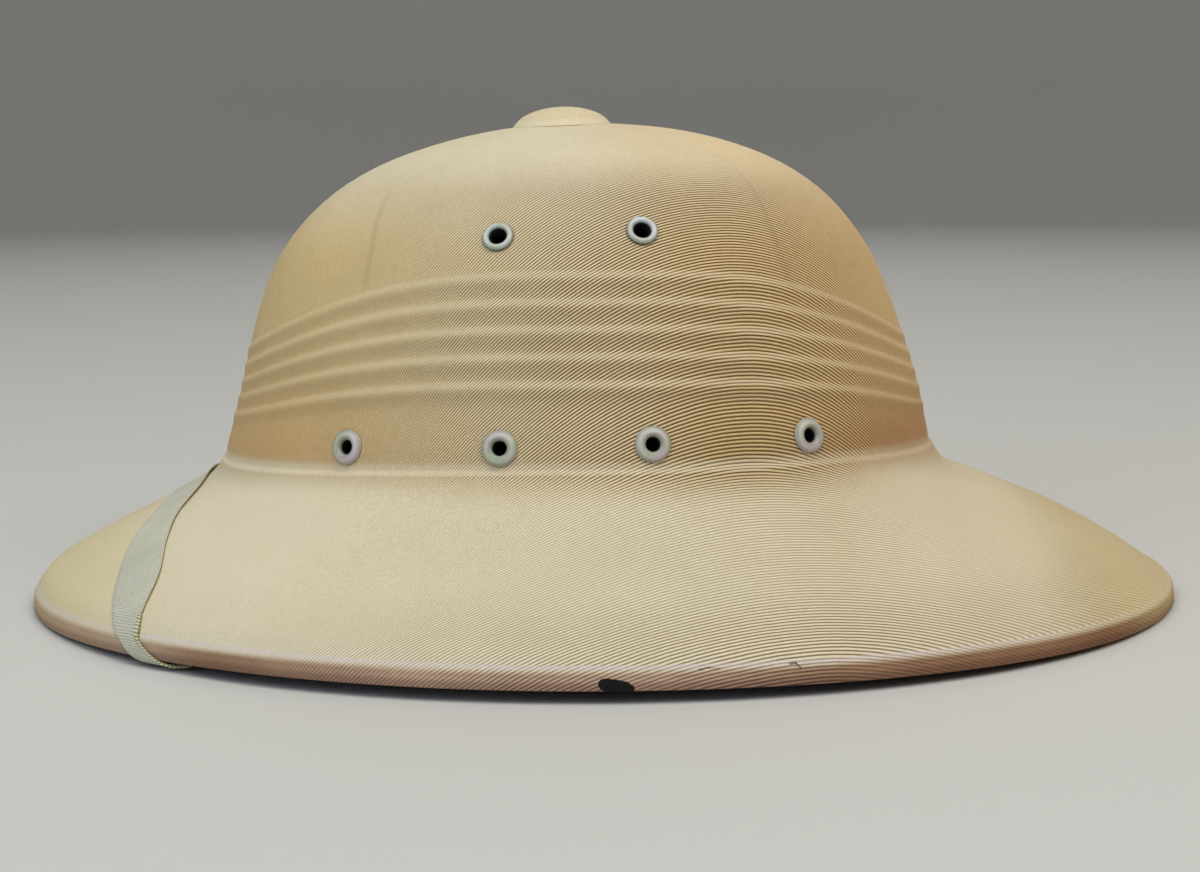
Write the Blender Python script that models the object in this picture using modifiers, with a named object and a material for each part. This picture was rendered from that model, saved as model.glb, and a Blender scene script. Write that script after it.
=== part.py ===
"""Pith helmet with a ribbed crown, a sloping brim, side eyelets and a chin strap over the front.

Metres, +Z up. The front of the helmet is at -X and it rests on the front and back of its rim,
at Z = 0. Tables and sizes are in millimetres. Angles go round the helmet in degrees, from 0 at
the front through 90 at the wearer's left (-Y) to 180 at the back.
"""

import math

import bpy
from mathutils import Vector

MM = 0.001

# ---------------------------------------------------------------- sizes

SEGMENTS = 54  # facets round the helmet
WALL = 3.0  # pressed fibre under cloth
GAP = 0.3  # between pieces that touch

# Crown: how far the wall reaches from the crown's centre at each height.
CROWN_CENTRE = -6.0
# Columns: height, reach to the front, reach to the back, half the width.
CROWN = (
    (36, 108.5, 105.0, 88.5),
    (50, 105.2, 103.0, 87.0),
    (62, 102.0, 100.4, 84.3),
    (75, 99.0, 96.4, 81.3),
    (88, 95.2, 91.8, 77.8),
    (100, 90.0, 86.4, 73.4),
    (110, 82.8, 79.8, 67.6),
    (119, 73.0, 71.4, 60.1),
    (127, 59.4, 59.6, 49.5),
    (133, 42.6, 45.0, 36.5),
    (137, 25.0, 28.0, 22.0),
    (139, 0.0, 0.0, 0.0),
)
CROWN_TOP = CROWN[-1][0]
DOME_RINGS = 6

# Ribs: heights of the five rolled folds, which rise from both ends towards the sides.
# Columns: height at the front, at the back and at the sides.
RIBS = (
    (74.0, 76.3, 99.0),
    (68.9, 71.3, 91.9),
    (64.1, 66.3, 84.8),
    (59.4, 61.3, 77.7),
    (54.5, 56.2, 70.5),
)
RIB_BENDS = (3.0, 3.7)  # how late the rise levels out, to the front and to the back
# One rib from its upper side down: share of the pitch below its line, share of its depth.
RIB_PROFILE = ((-0.22, 0.0), (0.18, 1.0), (0.5, 0.5))
RIB_END = 0.85  # the last rib has run out this far below its line
RIB_DEPTH_SIDE = 0.9
RIB_DEPTH_ENDS = 0.4
RIB_SEAT = 0.3  # the folds stand a little inside the wall's own line

# Brim: heights above the top edge of the rim, from the crown's foot (0) to the rim (1).
# Columns: reach, then the height at the front, at the back and at the sides.
BRIM = (
    (0.00, 36.4, 39.4, 42.9),
    (0.12, 29.8, 31.2, 36.9),
    (0.35, 22.5, 24.7, 27.0),
    (0.60, 15.8, 17.2, 17.6),
    (0.82, 9.2, 8.4, 9.0),
    (0.94, 4.9, 2.6, 4.2),
    (1.00, 0.0, 0.0, 0.0),
)
BRIM_BENDS = (2.0, 4.0)  # how late the height changes, to the front and to the back
BRIM_RINGS = (0.06, 0.12, 0.22, 0.35, 0.52, 0.68, 0.82, 0.94, 1.0)
BEAD_PROUD = 0.9  # soft roll where the wall meets the brim
BEAD_ABOVE = 2.4

# Rim: an oval turned down all round. Its sides are lifted off the resting plane.
RIM_REACH = 169.5
RIM_HALF_WIDTH = 143.5
RIM_PROUD = 0.5
RIM_DROP = 4.6
RIM_SIDE_LIFT = 3.75
# The rim lies flat at the front and at the back while the angle's sine is under these.
RIM_FLAT = (0.20, 0.15)
RIM_BACK_BEND = 1.8  # how late the rim starts to rise at the back
RIM_RINGS = (1.5, 2.0)  # halfway down the rim and at its bottom

# Button on the crown.
BUTTON_X = -11.4
BUTTON_SIDES = 24
# Radius and height above the crown, from the top down.
BUTTON_CAP = (
    (0, 4.9),
    (5.4, 4.5),
    (9.8, 3.4),
    (12.8, 1.9),
    (14.3, 0.5),
    (14.5, -0.1),
    (13.6, -0.2),
)
BUTTON_UNDER = 0.5  # height of the cap's underside at its shank
BUTTON_SHANK = 2.5
BUTTON_HEAD = 5.0  # radius of the shank's head inside
BUTTON_HEAD_THICK = 1.0

# Eyelets: hole, tube and flange radii, and how far the flange stands up.
EYELET_SIDES = 12
EYELET_TUBE_WALL = 0.6
EYELET_CLINCH = 1.3  # how far the inner end is spread past the tube
EYELET_THROAT = 1 / 3  # where the hole's mouth starts, as a share of the flange's rise
EYELET_CLEAR = 2.5 * GAP  # from the inner wall, which is faceted, to the spread end
EYELET_KINDS = {
    "top": {"hole": 2.3, "crest": 3.15, "flange": 4.25, "proud": 1.2},
    "low": {"hole": 1.95, "crest": 2.9, "flange": 4.9, "proud": 1.3},
}
# Columns: name, kind, angle, height.
EYELETS = (
    ("top_front", "top", 75.0, 108.6),
    ("top_back", "top", 102.2, 109.9),
    ("low_front", "low", 52.8, 52.3),
    ("low_mid_front", "low", 78.2, 53.9),
    ("low_mid_back", "low", 100.8, 54.7),
    ("low_back", "low", 127.2, 54.5),
)
SIDES = {"left": 1, "right": -1}

# Chin strap: where its two edges lie on the shell. A reach under 0 is up the wall, in steps of
# STRAP_WALL_STEP, and one over 1 is down the rim. Off is how far the tape's middle is outside
# the shell's outer face, so that a row well under 0 is inside the helmet.
STRAP_THICK = 1.2
STRAP_OVER = GAP + STRAP_THICK / 2
STRAP_INSIDE = -(WALL + 2 * GAP + STRAP_THICK / 2)
STRAP_WALL_STEP = 10.0
SKIN_STEP = 0.05  # reach over which the shell's slope is taken
# Columns: angle and reach of the near edge, angle and reach of the far edge, off.
STRAP = (
    (0.0, 0.08, 0.0, 0.29, STRAP_OVER),
    (12.0, 0.13, 10.0, 0.35, STRAP_OVER),
    (21.5, 0.30, 18.5, 0.47, STRAP_OVER),
    (30.0, 0.465, 25.5, 0.61, STRAP_OVER),
    (38.0, 0.68, 32.4, 0.77, STRAP_OVER),
    (42.2, 0.86, 36.5, 0.88, STRAP_OVER),
    (45.0, 0.955, 40.2, 0.965, STRAP_OVER),
    (46.8, 1.10, 42.8, 1.10, STRAP_OVER),
    (48.0, 1.95, 44.0, 1.95, STRAP_OVER + 0.6),
    (49.0, 2.28, 45.0, 2.28, -WALL / 2),
    (51.0, 2.00, 46.5, 2.00, STRAP_INSIDE - 0.6),
    (54.0, 0.85, 48.5, 0.77, STRAP_INSIDE),
    (59.5, 0.55, 54.5, 0.42, STRAP_INSIDE),
    (64.5, 0.30, 60.0, 0.16, STRAP_INSIDE - 0.4),
    (68.0, 0.08, 64.0, -0.15, STRAP_INSIDE - 1.0),
    (71.0, -0.25, 66.5, -1.25, STRAP_INSIDE - 0.4),
    (73.8, -0.45, 69.5, -1.60, STRAP_INSIDE),
)
STRAP_STEPS = 2  # stations from one row to the next
STRAP_ACROSS = 2

# Tacks that hold the strap's ends to the inner wall.
TACK_ANGLE = 71.0
TACK_REACH = -1.0
TACK_SIDES = 12
TACK_SHANK = 1.0
TACK_HEAD = 3.0
TACK_HEAD_THICK = 0.8
TACK_DEEP = 2.0  # into the wall
TAPE_DRILL = 4.0  # length of the cut through the tape
DRILL = 3 * WALL  # length of a cut through the wall

SHARP = math.radians(40)

COLOURS = {
    "cloth": (0.56, 0.43, 0.25),
    "tape": (0.50, 0.49, 0.37),
    "metal": (0.46, 0.45, 0.36),
    "brass": (0.45, 0.35, 0.18),
}


# ---------------------------------------------------------------- curves and surfaces


def column(rows, index):
    return [row[index] for row in rows]


def through(xs, ys, x):
    """Height at x of a smooth curve through the points, which never overshoots them."""
    x = min(max(x, xs[0]), xs[-1])
    slopes = [(ys[i + 1] - ys[i]) / (xs[i + 1] - xs[i]) for i in range(len(xs) - 1)]
    bends = [slopes[0]]
    for before, after in zip(slopes, slopes[1:]):
        same_way = before * after > 0
        bends.append(2 * before * after / (before + after) if same_way else 0.0)
    bends.append(slopes[-1])
    i = 0
    while i < len(xs) - 2 and x > xs[i + 1]:
        i += 1
    width = xs[i + 1] - xs[i]
    t = (x - xs[i]) / width
    start = (1 + 2 * t) * (1 - t) ** 2 * ys[i] + t * (1 - t) ** 2 * width * bends[i]
    end = t * t * (3 - 2 * t) * ys[i + 1] + t * t * (t - 1) * width * bends[i + 1]
    return start + end


def smooth_step(t):
    t = min(max(t, 0.0), 1.0)
    return t * t * (3 - 2 * t)


def round_line(front, back, side, bends, angle):
    """Value at an angle of something that is given at the front, the back and both sides."""
    cosine = math.cos(math.radians(angle))
    end, bend = (front, bends[0]) if cosine > 0 else (back, bends[1])
    return side + (end - side) * abs(cosine) ** bend


def oval(centre, front, back, half_width, angle):
    cosine = math.cos(math.radians(angle))
    sine = math.sin(math.radians(angle))
    return Vector((centre - (front if cosine > 0 else back) * cosine, -half_width * sine, 0))


CROWN_HEIGHTS = column(CROWN, 0)
CROWN_SQUARES = [[reach**2 for reach in column(CROWN, i)] for i in (1, 2, 3)]


def crown_point(angle, height, proud=0.0):
    """Point on the crown's outer face. Squares are interpolated, so that the top is round."""
    reaches = [
        math.sqrt(max(through(CROWN_HEIGHTS, squares, height), 0)) + proud
        for squares in CROWN_SQUARES
    ]
    point = oval(CROWN_CENTRE, *reaches, angle)
    point.z = height
    return point


def rim_lift(angle):
    at_front = math.cos(math.radians(angle)) > 0
    flat = RIM_FLAT[0] if at_front else RIM_FLAT[1]
    share = max((abs(math.sin(math.radians(angle))) - flat) / (1 - flat), 0.0)
    return RIM_SIDE_LIFT * (smooth_step(share) if at_front else share**RIM_BACK_BEND)


def brim_height(angle, reach):
    reaches = column(BRIM, 0)
    ends = [through(reaches, column(BRIM, i), reach) for i in (1, 2, 3)]
    return RIM_DROP + rim_lift(angle) * reach + round_line(*ends, BRIM_BENDS, angle)


def rim_point(angle, proud=0.0):
    return oval(0, RIM_REACH + proud, RIM_REACH + proud, RIM_HALF_WIDTH + proud, angle)


def brim_point(angle, reach):
    foot = crown_point(angle, brim_height(angle, 0))
    point = foot.lerp(rim_point(angle), reach)
    point.z = brim_height(angle, reach)
    return point


def skin_point(angle, reach):
    """Point on the shell's plain outer face, from the wall (under 0) to the rim (over 1)."""
    if reach < 0:
        return crown_point(angle, brim_height(angle, 0) - reach * STRAP_WALL_STEP)
    if reach <= 1:
        return brim_point(angle, reach)
    down = reach - 1
    point = rim_point(angle, RIM_PROUD * min(down * 2, 1))
    point.z = brim_height(angle, 1) - down * RIM_DROP
    return point


def normal_of(surface, angle, along, step):
    round_way = surface(angle + 1, along) - surface(angle - 1, along)
    down_way = surface(angle, along + step) - surface(angle, along - step)
    return down_way.cross(round_way).normalized()


def off_skin(angle, reach, distance):
    """Point a distance out from the shell's plain outer face, or inside it if negative."""
    return skin_point(angle, reach) + distance * normal_of(skin_point, angle, reach, SKIN_STEP)


# ---------------------------------------------------------------- Blender helpers


def clear_scene():
    for obj in list(bpy.data.objects):
        bpy.data.objects.remove(obj)


def collection(name):
    made = bpy.data.collections.new(name)
    bpy.context.scene.collection.children.link(made)
    return made


def material(name, colour, roughness, metallic=0.0):
    made = bpy.data.materials.new(name)
    made.use_nodes = True
    shader = made.node_tree.nodes["Principled BSDF"]
    shader.inputs["Base Color"].default_value = (*COLOURS[colour], 1)
    shader.inputs["Roughness"].default_value = roughness
    shader.inputs["Metallic"].default_value = metallic
    return made


def finish(obj, home, surface):
    """Puts an object in its collection with its material, shaded smooth."""
    for old in list(obj.users_collection):
        old.objects.unlink(obj)
    home.objects.link(obj)
    obj.data.materials.append(surface)
    obj.data.shade_smooth()
    obj.data.set_sharp_from_angle(angle=SHARP)
    return obj


def mesh_object(name, points, faces):
    mesh = bpy.data.meshes.new(name)
    mesh.from_pydata([Vector(point) * MM for point in points], [], faces)
    mesh.validate()
    return bpy.data.objects.new(name, mesh)


def grid_faces(rows, across, first=0, closed=False):
    """Quads between rows of points that follow each other in one list."""
    faces = []
    for row in range(rows - 1):
        for i in range(across if closed else across - 1):
            a = first + row * across + i
            b = first + row * across + (i + 1) % across
            faces.append((a, a + across, b + across, b))
    return faces


def turned(name, profile, sides, loop):
    """Solid turned about Z from (radius, height) points that run down its outer side."""
    points = [(radius, 0, height) for radius, height in profile]
    edges = [(i, i + 1) for i in range(len(points) - 1)]
    if loop:
        edges.append((len(points) - 1, 0))
    mesh = bpy.data.meshes.new(name)
    mesh.from_pydata([Vector(point) * MM for point in points], edges, [])
    obj = bpy.data.objects.new(name, mesh)
    screw = obj.modifiers.new("Turn", "SCREW")
    screw.axis = "Z"
    screw.steps = sides
    screw.render_steps = sides
    screw.use_merge_vertices = True
    screw.merge_threshold = 0.00001
    screw.use_smooth_shade = True
    return obj


def stand(obj, point, normal):
    obj.location = point * MM
    obj.rotation_mode = "QUATERNION"
    obj.rotation_quaternion = normal.to_track_quat("Z", "Y")
    return obj


def drill(name, home, radius, depth, point, normal, sides):
    """A cylinder that cuts a hole, centred on the point and along the normal."""
    bpy.ops.mesh.primitive_cylinder_add(vertices=sides, radius=radius * MM, depth=depth * MM)
    cutter = bpy.context.object
    cutter.name = name
    for old in list(cutter.users_collection):
        old.objects.unlink(cutter)
    home.objects.link(cutter)
    cutter.hide_render = True
    cutter.display_type = "WIRE"
    return stand(cutter, point, normal)


def cut_by(obj, cutters):
    cut = obj.modifiers.new("Holes", "BOOLEAN")
    cut.operation = "DIFFERENCE"
    cut.operand_type = "COLLECTION"
    cut.collection = cutters
    cut.solver = "EXACT"


# ---------------------------------------------------------------- shell


def rib_height(index, angle):
    return round_line(*RIBS[index], RIB_BENDS, angle)


def rib_depth(angle):
    sine = abs(math.sin(math.radians(angle)))
    return RIB_DEPTH_ENDS + (RIB_DEPTH_SIDE - RIB_DEPTH_ENDS) * sine


def rib_point(index, angle, down, share):
    """Point beside rib line `index`, `down` pitches below it, out by a share of its depth."""
    above = min(index, len(RIBS) - 2)
    pitch = rib_height(above, angle) - rib_height(above + 1, angle)
    height = rib_height(index, angle) - down * pitch
    return crown_point(angle, height, share * rib_depth(angle) - RIB_SEAT)


def shell_rings():
    """Functions from angle to point, one for each ring of the shell from the top down."""
    rings = []
    start = RIB_PROFILE[0][0]

    def dome(share):
        def point(angle):
            foot = rib_point(0, angle, start, 0).z
            height = CROWN_TOP - (CROWN_TOP - foot) * share**2
            return crown_point(angle, height, -RIB_SEAT * smooth_step(share * 4 - 3))

        return point

    for ring in range(1, DOME_RINGS):
        rings.append(dome(ring / DOME_RINGS))
    for index in range(len(RIBS)):
        for down, share in RIB_PROFILE:
            rings.append(lambda angle, a=(index, down, share): rib_point(a[0], angle, *a[1:]))
    rings.append(lambda angle: rib_point(len(RIBS) - 1, angle, RIB_END, RIB_SEAT))
    rings.append(lambda angle: crown_point(angle, brim_height(angle, 0) + BEAD_ABOVE))
    rings.append(lambda angle: crown_point(angle, brim_height(angle, 0), BEAD_PROUD))
    for reach in BRIM_RINGS + RIM_RINGS:
        rings.append(lambda angle, reach=reach: skin_point(angle, reach))
    return rings


def make_shell(home, cutters):
    rings = shell_rings()
    angles = [360 * i / SEGMENTS for i in range(SEGMENTS)]
    points = [crown_point(0, CROWN_TOP)]
    points += [ring(angle) for ring in rings for angle in angles]
    faces = [(0, 1 + i, 1 + (i + 1) % SEGMENTS) for i in range(SEGMENTS)]
    faces += grid_faces(len(rings), SEGMENTS, first=1, closed=True)
    shell = mesh_object("shell", points, faces)
    wall = shell.modifiers.new("Wall", "SOLIDIFY")
    wall.thickness = WALL * MM
    wall.offset = -1
    wall.use_even_offset = True
    cut_by(shell, cutters)
    return finish(shell, home, material("shell cloth", "cloth", 0.9))


# ---------------------------------------------------------------- small pieces


def make_button(home, cutters):
    reach = CROWN_CENTRE - BUTTON_X
    flat = CROWN_SQUARES[0][-2] / (CROWN_TOP - CROWN_HEIGHTS[-2])
    point = crown_point(0, CROWN_TOP - reach**2 / flat)
    normal = Vector((-reach * 2 / flat, 0, 1)).normalized()
    inside = -(WALL + 2 * GAP)
    profile = [*BUTTON_CAP, (BUTTON_HEAD, BUTTON_UNDER), (BUTTON_SHANK, BUTTON_UNDER)]
    profile += [(BUTTON_SHANK, inside), (BUTTON_HEAD, inside)]
    profile += [(BUTTON_HEAD, inside - BUTTON_HEAD_THICK), (0, inside - BUTTON_HEAD_THICK)]
    button = stand(turned("top_button", profile, BUTTON_SIDES, loop=False), point, normal)
    drill("button_hole", cutters, BUTTON_SHANK + GAP, DRILL, point, normal, EYELET_SIDES)
    return finish(button, home, material("button cloth", "cloth", 0.9))


def eyelet_profile(hole, crest, flange, proud):
    tube = hole + EYELET_TUBE_WALL
    inner = -(WALL + EYELET_CLEAR)
    return [
        (crest, proud),
        (flange, GAP),
        (tube, GAP),
        (tube, inner),
        (tube + EYELET_CLINCH, inner),
        (hole, inner - EYELET_TUBE_WALL),
        (hole, proud * EYELET_THROAT),
    ]


def make_eyelets(home, cutters):
    for name, kind, angle, height in EYELETS:
        sizes = EYELET_KINDS[kind]
        for side, way in SIDES.items():
            point = crown_point(way * angle, height)
            normal = normal_of(lambda a, z: crown_point(a, -z), way * angle, -height, 1.0)
            profile = eyelet_profile(**sizes)
            eyelet = turned(f"eyelet_{name}_{side}", profile, EYELET_SIDES, loop=True)
            stand(eyelet, point, normal)
            finish(eyelet, home, material(f"{eyelet.name} paint", "metal", 0.5))
            radius = sizes["hole"] + EYELET_TUBE_WALL + GAP
            drill(f"hole_{name}_{side}", cutters, radius, DRILL, point, normal, EYELET_SIDES)


# ---------------------------------------------------------------- chin strap


def strap_station(row, way):
    """Points across the tape at one row of the table, on the left (1) or right (-1) half."""
    near_angle, near_reach, far_angle, far_reach, off = row
    points = []
    for i in range(STRAP_ACROSS + 1):
        t = i / STRAP_ACROSS
        angle = near_angle + (far_angle - near_angle) * t
        reach = near_reach + (far_reach - near_reach) * t
        points.append(off_skin(way * angle, reach, off))
    return points


def smooth_run(points, steps):
    """A smooth curve through the points, with `steps` pieces from each to the next."""
    run = []
    for i in range(len(points) - 1):
        before = points[max(i - 1, 0)]
        start, end = points[i], points[i + 1]
        after = points[min(i + 2, len(points) - 1)]
        for step in range(steps):
            t = step / steps
            leave = (end - before) / 2 * t * (1 - t) ** 2
            arrive = (after - start) / 2 * t * t * (t - 1)
            run.append(start.lerp(end, smooth_step(t)) + leave + arrive)
    return run + [points[-1]]


def make_strap(home, cutters):
    """Tape from the right tack, round the rim, over the front of the brim and back inside."""
    right = [strap_station(row, -1) for row in reversed(STRAP)]
    left = [strap_station(row, 1) for row in STRAP[1:]]
    lines = [smooth_run(line, STRAP_STEPS) for line in zip(*(right + left))]
    rows = list(zip(*lines))
    points = [point for row in rows for point in row]
    strap = mesh_object("chin_strap", points, grid_faces(len(rows), STRAP_ACROSS + 1))
    tape = strap.modifiers.new("Tape", "SOLIDIFY")
    tape.thickness = STRAP_THICK * MM
    tape.offset = 0
    cut_by(strap, cutters)
    return finish(strap, home, material("strap tape", "tape", 0.9))


def make_tacks(home, shell_cutters, strap_cutters):
    back = STRAP_INSIDE - STRAP_THICK / 2 - 2 * GAP
    profile = [(0, TACK_DEEP - WALL), (TACK_SHANK, TACK_DEEP - WALL), (TACK_SHANK, back)]
    profile += [(TACK_HEAD, back), (TACK_HEAD, back - TACK_HEAD_THICK)]
    profile += [(0, back - TACK_HEAD_THICK)]
    for side, way in SIDES.items():
        point = skin_point(way * TACK_ANGLE, TACK_REACH)
        normal = normal_of(skin_point, way * TACK_ANGLE, TACK_REACH, SKIN_STEP)
        tack = stand(turned(f"strap_tack_{side}", profile, TACK_SIDES, loop=False), point, normal)
        finish(tack, home, material(f"{tack.name} brass", "brass", 0.4, 1.0))
        radius = TACK_SHANK + GAP
        blind = point - normal * WALL
        reach = 2 * (TACK_DEEP + GAP)
        drill(f"{side}_tack_wall", shell_cutters, radius, reach, blind, normal, TACK_SIDES)
        tape = point + normal * STRAP_INSIDE
        drill(f"{side}_tack_tape", strap_cutters, radius, TAPE_DRILL, tape, normal, TACK_SIDES)


def main():
    clear_scene()
    home = collection("pith_helmet")
    shell_cutters = collection("shell_cutters")
    strap_cutters = collection("strap_cutters")
    make_button(home, shell_cutters)
    make_eyelets(home, shell_cutters)
    make_tacks(home, shell_cutters, strap_cutters)
    make_shell(home, shell_cutters)
    make_strap(home, strap_cutters)


main()
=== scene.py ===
"""Looks of a pith helmet: twill over a pressed shell, a covered button, eyelets and a tape strap.

Angles go round the helmet in degrees, from 0 at the front (-X) through 90 at the wearer's left
(-Y) to 180 at the back. Tables and sizes are in millimetres, and Blender's own are in metres.
"""

import math

import bpy
import numpy as np
from mathutils import Matrix, Vector


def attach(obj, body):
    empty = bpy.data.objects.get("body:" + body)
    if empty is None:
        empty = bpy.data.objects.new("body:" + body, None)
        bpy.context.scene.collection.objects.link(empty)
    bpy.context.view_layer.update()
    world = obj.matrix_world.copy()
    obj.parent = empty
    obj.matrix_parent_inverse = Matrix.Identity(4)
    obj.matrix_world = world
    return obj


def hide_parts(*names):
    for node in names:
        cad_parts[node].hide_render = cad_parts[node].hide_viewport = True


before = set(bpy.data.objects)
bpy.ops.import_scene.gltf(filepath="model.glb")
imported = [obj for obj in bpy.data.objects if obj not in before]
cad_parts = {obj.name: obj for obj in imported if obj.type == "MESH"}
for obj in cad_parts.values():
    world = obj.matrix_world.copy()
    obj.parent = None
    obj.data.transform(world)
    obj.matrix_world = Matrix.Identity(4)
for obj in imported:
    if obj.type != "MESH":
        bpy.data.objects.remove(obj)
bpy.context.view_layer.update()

MM = 0.001

# ---------------------------------------------------------------- the helmet's sizes

WALL = 3.0
GAP = 0.3
SEGMENTS = 240

# Columns: height, reach to the front, reach to the back, half the width.
CROWN_CENTRE = -6.0
CROWN = (
    (36, 108.5, 105.0, 88.5),
    (50, 105.2, 103.0, 87.0),
    (62, 102.0, 100.4, 84.3),
    (75, 99.0, 96.4, 81.3),
    (88, 95.2, 91.8, 77.8),
    (100, 90.0, 86.4, 73.4),
    (110, 82.8, 79.8, 67.6),
    (119, 73.0, 71.4, 60.1),
    (127, 59.4, 59.6, 49.5),
    (133, 42.6, 45.0, 36.5),
    (137, 25.0, 28.0, 22.0),
    (139, 0.0, 0.0, 0.0),
)
CROWN_TOP = CROWN[-1][0]

# Columns: height at the front, at the back and at the sides.
RIBS = (
    (74.0, 76.3, 99.0),
    (68.9, 71.3, 91.9),
    (64.1, 66.3, 84.8),
    (59.4, 61.3, 77.7),
    (54.5, 56.2, 70.5),
)
RIB_BENDS = (3.0, 3.7)
RIB_TOP = -0.20  # pitches below the first rib's line where the ribs start
RIB_END = RIB_TOP + len(RIBS)
RIB_DEPTH_SIDE = 0.74
RIB_DEPTH_ENDS = 0.30
RIB_SEAT = 0.2

# Columns: reach, then the height at the front, at the back and at the sides.
BRIM = (
    (0.00, 36.4, 39.4, 42.9),
    (0.12, 29.8, 31.2, 36.9),
    (0.35, 22.5, 24.7, 27.0),
    (0.60, 15.8, 17.2, 17.6),
    (0.82, 9.2, 8.4, 9.0),
    (0.94, 4.9, 2.6, 4.2),
    (1.00, 0.0, 0.0, 0.0),
)
BRIM_BENDS = (2.0, 4.0)
BEAD_ABOVE = 1.2

RIM_REACH = 169.5
RIM_HALF_WIDTH = 143.5
RIM_PROUD = 0.5
RIM_DROP = 4.6
RIM_SIDE_LIFT = 3.4
RIM_FLAT = (0.20, 0.15)
RIM_BACK_BEND = 1.8
RIM_ROUND = (0.978, 0.30)  # its upper edge is round from here on the brim to here down
RIM_INSIDE = 0.55  # how far down the rim its inner face starts
LIP_ROUND = 0.35
LIP_SQUARE = 0.7  # 1 is a half circle under the rim, and less is squarer

# Wales of the twill for each metre of cloth, along the helmet and down its sides.
WALES_ALONG = 508.0
WALES_DOWN = 1035.0


def through(xs, ys):
    """A smooth curve that never overshoots its points."""
    xs, ys = np.array(xs, float), np.array(ys, float)
    slopes = np.diff(ys) / np.diff(xs)
    before, after = slopes[:-1], slopes[1:]
    same_way = before * after > 0
    total = np.where(same_way, before + after, 1)
    bends = np.concatenate(
        [slopes[:1], np.where(same_way, 2 * before * after / total, 0), slopes[-1:]]
    )

    def curve(x):
        x = np.clip(x, xs[0], xs[-1])
        i = np.clip(np.searchsorted(xs, x, "right") - 1, 0, len(xs) - 2)
        width = xs[i + 1] - xs[i]
        t = (x - xs[i]) / width
        start = (1 + 2 * t) * (1 - t) ** 2 * ys[i] + t * (1 - t) ** 2 * width * bends[i]
        end = t * t * (3 - 2 * t) * ys[i + 1] + t * t * (t - 1) * width * bends[i + 1]
        return start + end

    return curve


def lines_through(rows, power=1):
    """A curve for each column of a table after its first, which holds the places."""
    places, *columns = np.transpose(rows)
    return [through(places, values**power) for values in columns]


def lengths_along(line):
    """Length from a line's first point to each of its points."""
    return np.concatenate([[0], np.cumsum(np.linalg.norm(np.diff(line, axis=0), axis=1))])


def unit(vectors):
    return vectors / np.linalg.norm(vectors, axis=-1, keepdims=True)


def smooth_step(t):
    t = np.clip(t, 0, 1)
    return t * t * (3 - 2 * t)


def cosine(angle):
    return np.cos(np.radians(angle))


def sine(angle):
    return np.sin(np.radians(angle))


def at_front(angle, front, back):
    return np.where(cosine(angle) > 0, front, back)


def round_line(front, back, side, bends, angle):
    """Value at an angle of something that is given at the front, the back and both sides."""
    end = at_front(angle, front, back)
    return side + (end - side) * np.abs(cosine(angle)) ** at_front(angle, *bends)


def oval(centre, front, back, half_width, angle, height):
    x = centre - at_front(angle, front, back) * cosine(angle)
    return np.stack(np.broadcast_arrays(x, -half_width * sine(angle), height * 1.0), -1)


CROWN_SQUARES = lines_through(CROWN, 2)
BRIM_LINES = lines_through(BRIM)


def crown_point(angle, height, proud=0.0):
    reaches = [np.sqrt(np.maximum(square(height), 0)) + proud for square in CROWN_SQUARES]
    return oval(CROWN_CENTRE, *reaches, angle, height)


def rim_lift(angle):
    flat = at_front(angle, *RIM_FLAT)
    share = np.maximum((np.abs(sine(angle)) - flat) / (1 - flat), 0)
    return RIM_SIDE_LIFT * at_front(angle, smooth_step(share), share**RIM_BACK_BEND)


def brim_height(angle, reach):
    ends = [line(reach) for line in BRIM_LINES]
    return RIM_DROP + rim_lift(angle) * reach + round_line(*ends, BRIM_BENDS, angle)


def rim_point(angle, height, proud=0.0):
    reach = RIM_REACH + proud
    return oval(0, reach, reach, RIM_HALF_WIDTH + proud, angle, height)


def brim_point(angle, reach):
    foot = crown_point(angle, brim_height(angle, 0))
    point = foot + (rim_point(angle, 0.0) - foot) * np.asarray(reach)[..., None]
    point[..., 2] = brim_height(angle, reach)
    return point


def rim_face(angle, down):
    """Point on the turned-down rim, from its upper edge (0) to its bottom (1)."""
    return rim_point(angle, brim_height(angle, 1) - down * RIM_DROP, RIM_PROUD * min(down * 2, 1))


def dome_point(angle, share):
    """Point on the plain crown, from its top (0) to its foot (1)."""
    foot = brim_height(angle, 0)
    return crown_point(angle, CROWN_TOP - (CROWN_TOP - foot) * share**2)


def normal_of(surface, angle, along, step):
    round_way = surface(angle + 1, along) - surface(angle - 1, along)
    down_way = surface(angle, along + step) - surface(angle, along - step)
    return unit(np.cross(down_way, round_way))


# ---------------------------------------------------------------- the modeller's helpers


def deselect():
    bpy.ops.object.select_all(action="DESELECT")


def pick(*pieces):
    deselect()
    for piece in pieces:
        piece.select_set(True)
    bpy.context.view_layer.objects.active = pieces[0]


def name_piece(name):
    piece = bpy.context.object
    piece.name = name
    piece.data.name = name
    return piece


def set_in_place(piece):
    """Puts the piece's place, turn and size into its mesh."""
    pick(piece)
    bpy.ops.object.transform_apply(location=True, rotation=True, scale=True)
    return piece


def apply_modifiers(piece):
    pick(piece)
    for modifier in list(piece.modifiers):
        bpy.ops.object.modifier_apply(modifier=modifier.name)


def edit_all(piece):
    """Starts an edit of the whole piece."""
    pick(piece)
    bpy.ops.object.mode_set(mode="EDIT")
    bpy.ops.mesh.select_mode(type="EDGE")
    bpy.ops.mesh.select_all(action="SELECT")


def extrude_ring(rise, share):
    """Draws the picked edges up by `rise` metres and out by a share."""
    bpy.ops.mesh.extrude_region_move(TRANSFORM_OT_translate={"value": (0, 0, rise)})
    bpy.ops.transform.resize(value=(share, share, 1), center_override=(0, 0, 0))


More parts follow.
